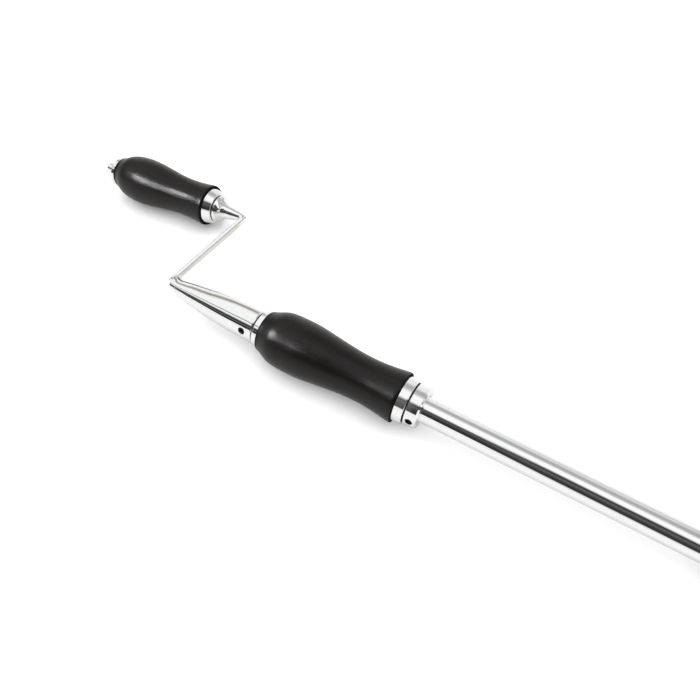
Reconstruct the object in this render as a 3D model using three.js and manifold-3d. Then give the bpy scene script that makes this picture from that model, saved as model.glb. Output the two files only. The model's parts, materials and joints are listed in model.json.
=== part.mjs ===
// Long-reach hand drill: a crank with its own turning handle drives a steel tube
// that spins inside a fixed centre grip and carries a keyless three-jaw chuck.
//
// Frame: +X along the spindle towards the chuck, +Y towards the crank handle at
// rest, +Z up, Z = 0 on the bench the tool lies on. Origin: the middle of the
// whole tool's footprint. Millimetres.
//
// Stations on the spindle are X distances from the middle of the centre grip.
// Stations on the crank handle run along the handle's own axis from the crank
// arm, negative away from it. A span is [rear, front], the front being nearer +X.
// Profiles and sections are lists of [station, radius].
import * as THREE from "three";
import { mergeVertices } from "three/addons/utils/BufferGeometryUtils.js";
import Module from "manifold-3d";

const wasm = await Module();
wasm.setup();

// -------------------------------------------------------- placing and fitting
const FOOTPRINT_SHIFT = { x: -29.867, y: -41.148 }; // centres the footprint on the origin
const AXIS_HEIGHT = 21.4; // the centre grip's barrel and the chuck's ring rest on the bench
const CRANK_ROLL = -1.08; // degrees; the crank sinks until its handle also rests
const HANDLE_PLACE = { x: -141.8, y: 88.4 }; // where the handle axis meets the arm
const HANDLE_YAW = 3.5; // degrees; the handle's outer end leans to the spindle

const GAP = 0.3; // end clearance between neighbouring pieces
const FIT = 0.35; // radial clearance of fixed pieces
const BORE_FIT = 0.36; // radial clearance of the bores that take a rod's end
const SLACK = 0.4; // clearance of running bores, bushes and blind ends

// segments around each kind of round piece
const SEGMENTS = { grip: 32, hub: 32, turned: 28, small: 20, screw: 12 };

// ------------------------------------------------------------------- helpers
const radians = THREE.MathUtils.degToRad;

// A manifold from a closed three.js geometry, turned right side out.
function solid(geometry) {
  geometry.deleteAttribute("normal");
  geometry.deleteAttribute("uv");
  const merged = mergeVertices(geometry, 1e-4);
  const index = merged.index.array;
  const triangles = [];
  for (let i = 0; i < index.length; i += 3) {
    const [a, b, c] = index.slice(i, i + 3);
    if (a !== b && b !== c && a !== c) triangles.push(a, b, c);
  }
  const build = () =>
    new wasm.Manifold(
      new wasm.Mesh({
        numProp: 3,
        vertProperties: new Float32Array(merged.attributes.position.array),
        triVerts: new Uint32Array(triangles),
      }),
    );
  const built = build();
  if (built.volume() >= 0) return built;
  for (let i = 0; i < triangles.length; i += 3) {
    [triangles[i + 1], triangles[i + 2]] = [triangles[i + 2], triangles[i + 1]];
  }
  return build();
}

function geometryOf(manifold) {
  const { vertProperties, triVerts } = manifold.getMesh();
  const geometry = new THREE.BufferGeometry();
  const positions = new Float32Array(vertProperties);
  geometry.setAttribute("position", new THREE.BufferAttribute(positions, 3));
  geometry.setIndex(new THREE.BufferAttribute(new Uint32Array(triVerts), 1));
  geometry.computeVertexNormals();
  return geometry;
}

// Spins [station, radius] points about X.
function revolve(points, segments) {
  const outline = points.map(([x, radius]) => new THREE.Vector2(radius, x));
  return solid(new THREE.LatheGeometry(outline, segments).rotateZ(-Math.PI / 2));
}

// A solid of revolution; the profile runs rear to front along the outside and
// is closed to the axis at both ends.
const turned = (profile, segments) =>
  revolve([[profile[0][0], 0], ...profile, [profile.at(-1)[0], 0]], segments);

// A ring whose section is a closed polygon.
const ring = (section, segments) => revolve([...section, section[0]], segments);

const rod = ([rear, front], radius, segments) =>
  turned([[rear, radius], [front, radius]], segments);

const hollowRod = ([rear, front], bore, radius, segments) =>
  ring([[rear, bore], [front, bore], [front, radius], [rear, radius]], segments);

// The outer edge of a ring section, front to rear, with both corners bevelled.
const bevelledEdge = ([rear, front], radius, bevel) => [
  [front, radius - bevel.front],
  [front - bevel.front, radius],
  [rear + bevel.rear, radius],
  [rear, radius - bevel.rear],
];

// A smooth outline through evenly spaced radii.
function swelling({ span: [rear, front], radii, steps }) {
  const pitch = (front - rear) / (radii.length - 1);
  const knots = radii.map((radius, i) => new THREE.Vector2(rear + i * pitch, radius));
  return new THREE.SplineCurve(knots).getPoints(steps).map(({ x, y }) => [x, y]);
}

// A cylinder across the spindle, between two distances from the axis; the angle
// is in degrees from +Y towards +Z.
function radialRod(station, angle, [from, to], radius) {
  return solid(
    new THREE.CylinderGeometry(radius, radius, to - from, SEGMENTS.screw)
      .translate(0, (from + to) / 2, 0)
      .rotateX(radians(angle))
      .translate(station, 0, 0),
  );
}

// ----------------------------------------------------------------- materials
const metal = (look) => new THREE.MeshStandardMaterial({ ...look, metalness: 1 });
const nonMetal = (look) => new THREE.MeshStandardMaterial({ ...look, metalness: 0 });

const chrome = metal({ color: 0xe4e5e6, roughness: 0.08 });
const blackWood = nonMetal({ color: 0x2a2725, roughness: 0.32 });
const steel = metal({ color: 0x9a9a98, roughness: 0.35 });
const darkSteel = metal({ color: 0x2c2d30, roughness: 0.45 });
const bronze = metal({ color: 0xa87a45, roughness: 0.4 });
const fibre = nonMetal({ color: 0x1c1b1a, roughness: 0.8 });

// -------------------------------------------------------------------- groups
const tool = new THREE.Group();
tool.position.set(FOOTPRINT_SHIFT.x, FOOTPRINT_SHIFT.y, AXIS_HEIGHT);
const crank = new THREE.Group();
crank.rotation.x = radians(CRANK_ROLL);
const handle = new THREE.Group();
handle.position.set(HANDLE_PLACE.x, HANDLE_PLACE.y, 0);
handle.rotation.z = radians(HANDLE_YAW);
handle.updateMatrix();
crank.add(handle);
tool.add(crank);

function add(group, name, shape, material) {
  const mesh = new THREE.Mesh(geometryOf(shape), material);
  mesh.name = name;
  group.add(mesh);
}

// ---------------------------------------------------------------- centre grip
const TUBE = { span: [-97.2, 281], radius: 9.5, bore: 7.9 };
const RUNNING_BORE = TUBE.radius + SLACK; // bores that run on the tube

const GRIP = {
  span: [-58.2, 55],
  radii: [15.7, 20.4, 21.33, 21.02, 19.6, 18.05, 16.95, 16.72, 17.65, 19.2],
  steps: 20,
  bore: 10.5,
  tenonRadius: 14.2,
  tenonEnd: 61,
  pocketRadius: 12.6, // pockets for the two bushes
  rearPocketEnd: -42,
  frontPocketEnd: 46,
  cut: [-70, 70], // the bores are cut past both ends
};
const GRIP_BUSH_RADIUS = GRIP.pocketRadius - SLACK;
const REAR_FLANGE = { span: [-63, GRIP.span[0] - GAP], radius: 14.1, bevel: 0.7 };
const FERRULE = {
  span: [GRIP.span[1] + GAP, 62.6],
  radius: 16.87,
  lipBore: 10.3,
  bevel: { rear: 0.4, front: 0.8 },
};

function gripWood() {
  const { tenonRadius, tenonEnd, pocketRadius, cut } = GRIP;
  const outline = [...swelling(GRIP), [GRIP.span[1], tenonRadius], [tenonEnd, tenonRadius]];
  return turned(outline, SEGMENTS.grip)
    .subtract(rod(cut, GRIP.bore, SEGMENTS.small))
    .subtract(rod([cut[0], GRIP.rearPocketEnd], pocketRadius, SEGMENTS.small))
    .subtract(rod([GRIP.frontPocketEnd, cut[1]], pocketRadius, SEGMENTS.small));
}

function gripRearFlangeBush() {
  const { span: [rear, front], radius, bevel } = REAR_FLANGE;
  const bushEnd = GRIP.rearPocketEnd - GAP;
  return ring([
    [rear, RUNNING_BORE], [bushEnd, RUNNING_BORE],
    [bushEnd, GRIP_BUSH_RADIUS], [front, GRIP_BUSH_RADIUS],
    [front, radius], [rear + bevel, radius], [rear, radius - bevel],
  ], SEGMENTS.turned);
}

function gripFrontBush() {
  const span = [GRIP.frontPocketEnd + GAP, GRIP.tenonEnd - GAP];
  return hollowRod(span, RUNNING_BORE, GRIP_BUSH_RADIUS, SEGMENTS.turned);
}

// Fits over the grip's tenon, with a lip across the tenon's end.
function gripFerrule() {
  const { span, radius, lipBore, bevel } = FERRULE;
  const socket = GRIP.tenonRadius + FIT;
  const lip = GRIP.tenonEnd + GAP;
  return ring([
    [span[0], socket], [lip, socket], [lip, lipBore], [span[1], lipBore],
    ...bevelledEdge(span, radius, bevel),
  ], SEGMENTS.turned);
}

add(tool, "center_grip_wood", gripWood(), blackWood);
add(tool, "center_grip_rear_flange_bush", gripRearFlangeBush(), chrome);
add(tool, "center_grip_front_bush", gripFrontBush(), bronze);
add(tool, "center_grip_front_ferrule", gripFerrule(), chrome);

// ------------------------------------------------------- crank, tube, collar
const BAR = {
  width: 4.4, // along the spindle
  thickness: 5.0,
  axisX: -149.7, // where the centreline crosses the spindle axis
  lean: 5.1, // degrees, towards the chuck
  startY: 0.9,
  endY: 89.75,
};
const HUB_FRONT = -64.2;
const HUB_PROFILE = [
  [-149.9, 1.9], [-149.3, 3.0], [-147.4, 4.2], [-144.5, 5.2], [-140, 6.35],
  [-134, 7.45], [-128, 8.4], [-120, 9.4], [-112, 10.4], [-103, 11.4],
  [-94, 12.1], [-84, 12.65], [-74, 13.0], [-65.2, 13.15], [HUB_FRONT, 12.5],
];
// The flared boss where the handle meets the arm, in handle stations.
const BELL_REAR = -25.2;
const BELL_PROFILE = [
  [BELL_REAR, 11.5], [-24.5, 11.8], [-23.2, 11.5], [-22.0, 10.6], [-20.8, 9.1],
  [-19.6, 7.4], [-18.2, 6.5], [-16.4, 6.0], [-13.2, 5.5], [-9.8, 4.8],
  [-6.4, 4.1], [-3.4, 3.4], [-1.4, 2.7],
];
const SPINDLE = {
  span: [-140.6, -17.6],
  radius: 4,
  step: -131.8, // the thinner tip lies behind this
  tipRadius: 2.5,
  tipBevel: 0.5,
};
const COLLAR = { span: [63.55, 72.6], radius: 15.5, bevel: { rear: 0.4, front: 1.3 } };

// Set screws: inner ends are at SCREW.inner from the axis, outer ends at `outer`.
// Angles are given with the crank's roll taken out.
const SCREW = { radius: 2.4, holeRadius: 2.72, inner: 9.85, holeSpan: [5, 20] };
const HUB_SCREW = { station: -72.1, angle: 159 - CRANK_ROLL, outer: 12.2 };
const COLLAR_SCREW = { station: 67.9, angle: 173 - CRANK_ROLL, outer: 13.8 };
const WASHER_BORE = 10;
const REAR_WASHER_RADIUS = 12.4;
const FRONT_WASHER_RADIUS = 15;
const PIN = { station: 268, radius: 1.75, cutReach: 15 }; // vertical in the crank's frame

const setScrew = ({ station, angle, outer }) =>
  radialRod(station, angle, [SCREW.inner, outer], SCREW.radius);

const setScrewHole = ({ station, angle }) =>
  radialRod(station, angle, SCREW.holeSpan, SCREW.holeRadius);

const crossPin = (reach, radius) => radialRod(PIN.station, 90, [-reach, reach], radius);
const crossPinHole = () => crossPin(PIN.cutReach, PIN.radius + FIT);

const fromHandleFrame = (shape) => shape.transform(handle.matrix.elements);

function armBar() {
  const lean = radians(BAR.lean);
  const length = (BAR.endY - BAR.startY) / Math.cos(lean);
  return solid(
    new THREE.BoxGeometry(BAR.width, length, BAR.thickness)
      .translate(0, length / 2 + BAR.startY / Math.cos(lean), 0)
      .rotateZ(-lean)
      .translate(BAR.axisX, 0, 0),
  );
}

function crankArm() {
  const tubeSocket = rod([TUBE.span[0] - SLACK, -60], RUNNING_BORE, SEGMENTS.turned);
  const spindleSocket = rod(
    [-40, SPINDLE.span[1] + SLACK],
    SPINDLE.radius + BORE_FIT,
    SEGMENTS.small,
  );
  return turned(HUB_PROFILE, SEGMENTS.hub)
    .add(armBar())
    .add(fromHandleFrame(turned(BELL_PROFILE, SEGMENTS.turned)))
    .subtract(tubeSocket)
    .subtract(setScrewHole(HUB_SCREW))
    .subtract(fromHandleFrame(spindleSocket));
}

const mainTube = () =>
  hollowRod(TUBE.span, TUBE.bore, TUBE.radius, SEGMENTS.turned).subtract(crossPinHole());

// A thrust washer filling the space between two faces, less the end clearances.
const washer = (rearFace, frontFace, bore, radius, segments) =>
  hollowRod([rearFace + GAP, frontFace - GAP], bore, radius, segments);

const rearWasher = () =>
  washer(HUB_FRONT, REAR_FLANGE.span[0], WASHER_BORE, REAR_WASHER_RADIUS, SEGMENTS.turned);

const frontWasher = () =>
  washer(FERRULE.span[1], COLLAR.span[0], WASHER_BORE, FRONT_WASHER_RADIUS, SEGMENTS.turned);

function stopCollar() {
  const { span, radius, bevel } = COLLAR;
  return ring([
    [span[0], RUNNING_BORE], [span[1], RUNNING_BORE],
    ...bevelledEdge(span, radius, bevel),
  ], SEGMENTS.turned).subtract(setScrewHole(COLLAR_SCREW));
}

add(crank, "crank_arm", crankArm(), chrome);
add(crank, "hub_set_screw", setScrew(HUB_SCREW), darkSteel);
add(crank, "main_tube", mainTube(), chrome);
add(crank, "rear_thrust_washer", rearWasher(), fibre);
add(crank, "front_thrust_washer", frontWasher(), fibre);
add(crank, "stop_collar", stopCollar(), chrome);
add(crank, "collar_set_screw", setScrew(COLLAR_SCREW), darkSteel);

// --------------------------------------------------------------- crank handle
const HANDLE = {
  span: [-127.4, -33.7],
  radii: [12.8, 17.95, 19.72, 19.35, 17.9, 16.25, 15.65, 16.1, 17.4],
  steps: 18,
  bore: 5,
  tenonRadius: 10.7,
  tenonEnd: -27.4,
  pocketRadius: 7.5,
  outerPocketEnd: -115.2,
  innerPocketEnd: -40,
  cut: [-140, -20],
};
const HANDLE_BORE = SPINDLE.radius + SLACK; // bores that run on the handle spindle
const HANDLE_FERRULE = {
  span: [HANDLE.span[1] + GAP, -26.2],
  rearRadius: 15.2, // tapers towards the arm
  frontRadius: 13.4,
  lipBore: 5,
  bevel: { rear: 0.4, front: 0.7 },
};
const HANDLE_WASHER_RADIUS = 11.2;
const END_CAP = { span: [-132.1, HANDLE.span[0] - GAP], radius: 12.3 };
const END_NUT = {
  span: [-143.6, END_CAP.span[0] - GAP],
  radius: 4.5,
  flangeRadius: 5.7,
};

function handleSpindle() {
  const { span: [rear, front], radius, step, tipRadius, tipBevel } = SPINDLE;
  return turned([
    [rear, tipRadius - tipBevel], [rear + tipBevel, tipRadius], [step, tipRadius],
    [step, radius], [front, radius],
  ], SEGMENTS.small);
}

function handleWood() {
  const { tenonRadius, tenonEnd, pocketRadius, cut } = HANDLE;
  const outline = [...swelling(HANDLE), [HANDLE.span[1], tenonRadius], [tenonEnd, tenonRadius]];
  return turned(outline, SEGMENTS.grip)
    .subtract(rod(cut, HANDLE.bore, SEGMENTS.small))
    .subtract(rod([cut[0], HANDLE.outerPocketEnd], pocketRadius, SEGMENTS.small))
    .subtract(rod([HANDLE.innerPocketEnd, cut[1]], pocketRadius, SEGMENTS.small));
}

// A bush filling a pocket between two stations, less the end clearances.
const handleBush = (rear, front) =>
  hollowRod(
    [rear + GAP, front - GAP],
    HANDLE_BORE,
    HANDLE.pocketRadius - SLACK,
    SEGMENTS.small,
  );

function handleFerrule() {
  const { span: [rear, front], rearRadius, frontRadius, lipBore, bevel } = HANDLE_FERRULE;
  const socket = HANDLE.tenonRadius + FIT;
  const lip = HANDLE.tenonEnd + GAP;
  return ring([
    [rear, socket], [lip, socket], [lip, lipBore], [front, lipBore],
    [front, frontRadius - bevel.front], [front - bevel.front, frontRadius],
    [rear + bevel.rear, rearRadius], [rear, rearRadius - bevel.rear],
  ], SEGMENTS.turned);
}

const handleWasher = () =>
  washer(HANDLE_FERRULE.span[1], BELL_REAR, HANDLE_BORE, HANDLE_WASHER_RADIUS, SEGMENTS.small);

function handleEndCap() {
  const { span: [rear, front], radius } = END_CAP;
  return ring([
    [rear, HANDLE_BORE], [front, HANDLE_BORE], [front, radius],
    [rear + 1.4, radius], [rear + 0.4, radius - 0.6], [rear, radius - 2],
  ], SEGMENTS.turned);
}

// Domed at the rear, with a flange at the front and a blind bore for the tip.
function handleEndNut() {
  const { span: [rear, front], radius, flangeRadius } = END_NUT;
  const bore = rod([SPINDLE.span[0] - SLACK, -132], SPINDLE.tipRadius + BORE_FIT, SEGMENTS.screw);
  return turned([
    [rear, 2.2], [rear + 0.6, 3.3], [rear + 2, radius],
    [front - 2.2, radius], [front - 2.1, flangeRadius], [front, flangeRadius],
  ], SEGMENTS.small).subtract(bore);
}

const outerBush = handleBush(HANDLE.span[0], HANDLE.outerPocketEnd);
const innerBush = handleBush(HANDLE.innerPocketEnd, HANDLE.tenonEnd);
add(handle, "handle_spindle", handleSpindle(), steel);
add(handle, "crank_handle_wood", handleWood(), blackWood);
add(handle, "crank_handle_outer_bush", outerBush, bronze);
add(handle, "crank_handle_inner_bush", innerBush, bronze);
add(handle, "crank_handle_ferrule", handleFerrule(), chrome);
add(handle, "handle_thrust_washer", handleWasher(), fibre);
add(handle, "handle_end_cap", handleEndCap(), chrome);
add(handle, "handle_end_nut", handleEndNut(), chrome);

// --------------------------------------------------------------------- chuck
const CHUCK_TIP = 345; // jaw tips, jaws closed
const CHUCK_RADIUS = 14.5;
const CHUCK_SOCKET = CHUCK_RADIUS + FIT; // bores that fit on the chuck body
const SLEEVE_RADIUS = 20.7;
const SLEEVE_BORE = 18.4;
const RING_RADIUS = 21.4;
const JAW_BORE = 5.3; // the body's central bore, open at the front
const ARBOR_NOSE = 6.3;

// The chuck tables hold [distance back from the jaw tips, radius].
const BODY_PROFILE = [
  [60, 13.8], [59.3, CHUCK_RADIUS], [30.5, CHUCK_RADIUS], [30.5, 11], [21.5, 11],
  [21.5, CHUCK_RADIUS], [7, CHUCK_RADIUS], [1.5, 10.4],
];
const REAR_RING_SECTION = [
  [58, CHUCK_SOCKET], [48.6, CHUCK_SOCKET], [48.6, SLEEVE_BORE], [44.6, SLEEVE_BORE],
  [44.6, RING_RADIUS - 1], [45.6, RING_RADIUS], [55, RING_RADIUS], [58, RING_RADIUS - 3],
];
const SLEEVE_SECTION = [
  [44.2, SLEEVE_BORE], [20.5, SLEEVE_BORE], [20.5, CHUCK_SOCKET], [8.5, CHUCK_SOCKET],
  [8.5, 16.2], [9.4, 17], [17, 20], [18.2, SLEEVE_RADIUS],
  [43.2, SLEEVE_RADIUS], [44.2, SLEEVE_RADIUS - 1],
];
const JAW_NUT_SECTION = [
  [30, 14.3], [22, 12.15], [22, SLEEVE_BORE - FIT], [30, SLEEVE_BORE - FIT],
];
const JAW_NUT_MIDDLE = 26;
const JAW_NUT_HALF_GAP = 0.15;

const JAW = {
  radius: 4,
  angle: radians(15), // to the spindle
  tipOffset: 1.6, // jaw axis radius at its tip
  span: [-6, 34], // along the jaw's axis, back from the tip
};
const JAW_HOLE_SPAN = [-8, 48.6 / Math.cos(JAW.angle)];
// One jaw's sector, seen along the spindle: [radius, sideways].
const JAW_SECTOR = [[0.6, -0.43], [30, -51.35], [30, 51.35], [0.6, 0.43]];
const JAW_SECTOR_LENGTH = 60;
const JAW_TURNS = [0, 1, 2].map((k) => (k * 2 * Math.PI) / 3);

const back = (distance) => CHUCK_TIP - distance;
const fromTip = (table) => table.map(([distance, radius]) => [back(distance), radius]);

function chuckArbor() {
  const shank = TUBE.bore - FIT;
  const flangeRear = TUBE.span[1] + GAP;
  return turned([
    [251, 6.9], [251.8, shank], [flangeRear, shank], [flangeRear, 11],
    [284.6, 11], [284.6, ARBOR_NOSE], [301.5, ARBOR_NOSE], [302.2, 5.6],
  ], SEGMENTS.small).subtract(crossPinHole());
}

// A rod on a jaw's inclined axis; with no turn, the jaw that opens towards +Y.
function jawRod(radius, [from, to], turn) {
  return solid(
    new THREE.CylinderGeometry(radius, radius, to - from, SEGMENTS.small)
      .rotateZ(-Math.PI / 2)
      .translate(-(from + to) / 2, 0, 0)
      .rotateZ(-JAW.angle)
      .translate(CHUCK_TIP, JAW.tipOffset, 0)
      .rotateX(turn),
  );
}

function chuckBody() {
  const body = turned(fromTip(BODY_PROFILE), SEGMENTS.turned)
    .subtract(rod([back(26), back(-5)], JAW_BORE, SEGMENTS.small))
    .subtract(rod([back(70), back(42)], ARBOR_NOSE + BORE_FIT, SEGMENTS.small));
  return JAW_TURNS.reduce(
    (cut, turn) => cut.subtract(jawRod(JAW.radius + FIT, JAW_HOLE_SPAN, turn)),
    body,
  );
}

// Half of the split nut that drives the jaws; side is 1 or -1.
function jawNutHalf(side) {
  const height = 30;
  const box = new THREE.BoxGeometry(20, 60, height)
    .translate(back(JAW_NUT_MIDDLE), 0, side * (height / 2 + JAW_NUT_HALF_GAP))
    .rotateX(radians(45));
  return ring(fromTip(JAW_NUT_SECTION), SEGMENTS.turned).intersect(solid(box));
}

function chuckJaw(turn) {
  const sector = new THREE.Shape(JAW_SECTOR.map(([x, y]) => new THREE.Vector2(x, y)));
  // The two quarter turns take the sector's x, y and depth to Y, Z and X.
  const wedge = new THREE.ExtrudeGeometry(sector, {
    depth: JAW_SECTOR_LENGTH,
    bevelEnabled: false,
  })
    .rotateX(Math.PI / 2)
    .rotateZ(Math.PI / 2)
    .translate(back(JAW_SECTOR_LENGTH), 0, 0)
    .rotateX(turn);
  return jawRod(JAW.radius, JAW.span, turn).intersect(solid(wedge));
}

add(crank, "chuck_arbor", chuckArbor(), steel);
add(crank, "arbor_cross_pin", crossPin(TUBE.radius - GAP, PIN.radius), darkSteel);
add(crank, "chuck_body", chuckBody(), steel);
add(crank, "chuck_rear_ring", ring(fromTip(REAR_RING_SECTION), SEGMENTS.hub), chrome);
add(crank, "chuck_sleeve", ring(fromTip(SLEEVE_SECTION), SEGMENTS.hub), chrome);
add(crank, "chuck_jaw_nut_half_1", jawNutHalf(1), darkSteel);
add(crank, "chuck_jaw_nut_half_2", jawNutHalf(-1), darkSteel);
JAW_TURNS.forEach((turn, k) => add(crank, `chuck_jaw_${k + 1}`, chuckJaw(turn), steel));

export default tool;
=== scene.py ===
import json
import math

import bmesh
import bpy
import numpy as np
from mathutils import Matrix, Vector


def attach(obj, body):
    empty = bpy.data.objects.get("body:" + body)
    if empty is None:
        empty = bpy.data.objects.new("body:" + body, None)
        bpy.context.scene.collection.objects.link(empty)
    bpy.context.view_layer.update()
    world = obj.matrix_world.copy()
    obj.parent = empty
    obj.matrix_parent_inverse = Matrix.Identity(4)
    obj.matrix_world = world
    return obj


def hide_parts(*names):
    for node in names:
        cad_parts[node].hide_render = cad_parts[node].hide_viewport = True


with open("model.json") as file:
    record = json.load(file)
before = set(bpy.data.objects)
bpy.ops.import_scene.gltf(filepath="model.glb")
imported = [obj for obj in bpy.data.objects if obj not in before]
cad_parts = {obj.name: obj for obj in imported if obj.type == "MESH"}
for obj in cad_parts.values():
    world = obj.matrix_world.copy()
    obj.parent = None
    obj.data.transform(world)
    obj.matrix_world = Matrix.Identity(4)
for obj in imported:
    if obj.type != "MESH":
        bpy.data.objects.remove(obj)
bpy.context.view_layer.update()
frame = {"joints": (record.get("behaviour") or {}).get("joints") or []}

scene = bpy.context.scene
scene.view_settings.view_transform = "Standard"
scene.view_settings.look = "None"
scene.view_settings.exposure = 0.0
scene.view_settings.gamma = 1.0

# ------------------------------------------------------------------ placement
# Three frames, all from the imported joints: the tool (centre grip), the crank,
# and the crank handle. Local coordinates are in millimetres, X along each axis.
J = {j["name"]: j for j in frame["joints"]}
ORG = Vector(J["crank_turn"]["pos_m"])
HANDLE_AXIS = Vector(J["handle_spin"]["axis"]).normalized()
HANDLE_ORG = Vector(J["handle_spin"]["pos_m"]) + HANDLE_AXIS * 0.080
X = Vector((1, 0, 0))


def basis(x, y, z, o):
    m = Matrix.Identity(4)
    for i, v in enumerate((x, y, z)):
        for k in range(3):
            m[k][i] = v[k] * 0.001
    for k in range(3):
        m[k][3] = o[k]
    return m


side = HANDLE_ORG - ORG
side = (side - X * side.dot(X)).normalized()
up = X.cross(side).normalized()
M_TOOL = basis(X, Vector((0, 1, 0)), Vector((0, 0, 1)), ORG)
M_CRANK = basis(X, side, up, ORG)
M_HANDLE = basis(HANDLE_AXIS, up.cross(HANDLE_AXIS).normalized(), up, HANDLE_ORG)


# ---------------------------------------------------------------- mesh helpers
def fillet(points, closed=True, n=4):
    """points: (x, r[, fillet radius]). Returns the outline with rounded corners."""
    out, m = [], len(points)
    for i, p in enumerate(points):
        fr = p[2] if len(p) > 2 else 0.0
        if not fr or (not closed and i in (0, m - 1)):
            out.append((p[0], p[1]))
            continue
        a = np.array(points[i - 1][:2], float)
        b = np.array(p[:2], float)
        c = np.array(points[(i + 1) % m][:2], float)
        u, v = a - b, c - b
        lu, lv = np.linalg.norm(u), np.linalg.norm(v)
        u, v = u / lu, v / lv
        half = math.acos(max(-1, min(1, float(u @ v)))) / 2
        if half > 1.54 or half < 0.02:
            out.append((p[0], p[1]))
            continue
        t = min(fr / math.tan(half), 0.49 * lu, 0.49 * lv)
        r = t * math.tan(half)
        centre = b + (u + v) / np.linalg.norm(u + v) * (r / math.sin(half))
        s, e = b + u * t - centre, b + v * t - centre
        total = math.pi - 2 * half
        for k in range(n + 1):
            w = k / n
            q = (math.sin((1 - w) * total) * s + math.sin(w * total) * e) / math.sin(total)
            out.append(tuple(centre + q))
    return out


def spline(rng, radii, count):
    """The same smooth curve through evenly spaced radii as the solid has, sampled finely."""
    n = len(radii)
    out = []
    for i in range(count + 1):
        p = i / count * (n - 1)
        k = min(int(p), n - 2)
        w = p - k
        p0, p1, p2 = radii[max(k - 1, 0)], radii[k], radii[k + 1]
        p3 = radii[min(k + 2, n - 1)]
        v0, v1 = (p2 - p0) * 0.5, (p3 - p1) * 0.5
        r = (2 * p1 - 2 * p2 + v0 + v1) * w**3 + (-3 * p1 + 3 * p2 - 2 * v0 - v1) * w**2 + v0 * w + p1
        out.append((rng[0] + (rng[1] - rng[0]) * i / count, r))
    return out


def smooth_curve(pts, per=6):
    """A monotone cubic through uneven (x, r) points."""
    x = np.array([p[0] for p in pts], float)
    y = np.array([p[1] for p in pts], float)
    h = np.diff(x)
    d = np.diff(y) / h
    m = np.zeros(len(x))
    m[1:-1] = np.where(d[:-1] * d[1:] > 0, 2 * d[:-1] * d[1:] / (d[:-1] + d[1:] + 1e-12), 0)
    m[0], m[-1] = d[0], d[-1]
    out = []
    for i in range(len(h)):
        for k in range(per):
            t = k / per
            a = (1 + 2 * t) * (1 - t) ** 2 * y[i] + t * (1 - t) ** 2 * h[i] * m[i]
            b = t * t * (3 - 2 * t) * y[i + 1] + t * t * (t - 1) * h[i] * m[i + 1]
            out.append((x[i] + t * h[i], a + b))
    out.append((x[-1], y[-1]))
    return out


def outline_normals(pts, closed, sharp=0.6):
    p = np.array(pts, float)
    nxt = np.roll(p, -1, 0) if closed else p[1:]
    d = nxt - (p if closed else p[:-1])
    ln = np.linalg.norm(d, axis=1)
    n = np.stack([-d[:, 1], d[:, 0]], 1) / np.maximum(ln, 1e-9)[:, None]
    k = len(n)
    start, end = n.copy(), n.copy()
    for i in range(k):
        j = i + 1
        if j == k:
            if not closed:
                break
            j = 0
        if n[i] @ n[j] > math.cos(sharp):
            w = n[i] * ln[i] + n[j] * ln[j]
            w /= np.linalg.norm(w)
            end[i] = w
            start[j] = w
    return start, end


def lathe(pts, segs, closed):
    """A surface of revolution about X: vertices, faces and exact corner normals."""
    pts = [tuple(p[:2]) for p in pts]
    if closed:
        area = sum(
            pts[i][0] * pts[(i + 1) % len(pts)][1] - pts[(i + 1) % len(pts)][0] * pts[i][1]
            for i in range(len(pts))
        )
        if area > 0:
            pts = pts[::-1]
    clean = [pts[0]]
    for p in pts[1:]:
        if math.hypot(p[0] - clean[-1][0], p[1] - clean[-1][1]) > 1e-4:
            clean.append(p)
    if closed and math.hypot(clean[0][0] - clean[-1][0], clean[0][1] - clean[-1][1]) < 1e-4:
        clean.pop()
    pts = clean
    s_n, e_n = outline_normals(pts, closed)
    verts, first, pole = [], [], []
    ang = np.arange(segs) * 2 * math.pi / segs
    ca, sa = np.cos(ang), np.sin(ang)
    for x, r in pts:
        first.append(len(verts))
        if r < 1e-5:
            pole.append(True)
            verts.append((x, 0, 0))
        else:
            pole.append(False)
            verts.extend(zip([x] * segs, r * ca, r * sa))
    faces, normals = [], []
    count = len(pts) if closed else len(pts) - 1
    for k in range(count):
        k2 = (k + 1) % len(pts)
        a, b = first[k], first[k2]
        n0, n1 = s_n[k], e_n[k]
        for j in range(segs):
            j2 = (j + 1) % segs
            c0, s0, c1, s1 = ca[j], sa[j], ca[j2], sa[j2]
            v00, v01 = (n0[0], n0[1] * c0, n0[1] * s0), (n0[0], n0[1] * c1, n0[1] * s1)
            v10, v11 = (n1[0], n1[1] * c0, n1[1] * s0), (n1[0], n1[1] * c1, n1[1] * s1)
            if pole[k] and pole[k2]:
                continue
            if pole[k]:
                faces.append((a, b + j2, b + j))
                normals += [v00, v11, v10]
            elif pole[k2]:
                faces.append((a + j, a + j2, b))
                normals += [v00, v01, v10]
            else:
                faces.append((a + j, a + j2, b + j2, b + j))
                normals += [v00, v01, v11, v10]
    return np.array(verts, float), faces, np.array(normals, float), (pts, closed)


def mesh_of(name, verts, faces):
    me = bpy.data.meshes.new(name)
    me.from_pydata([tuple(v) for v in verts], [], faces)
    me.update()
    return me


def scratch(name, verts, faces):
    o = bpy.data.objects.new(name, mesh_of(name, verts, faces))
    scene.collection.objects.link(o)
    return o


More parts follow.
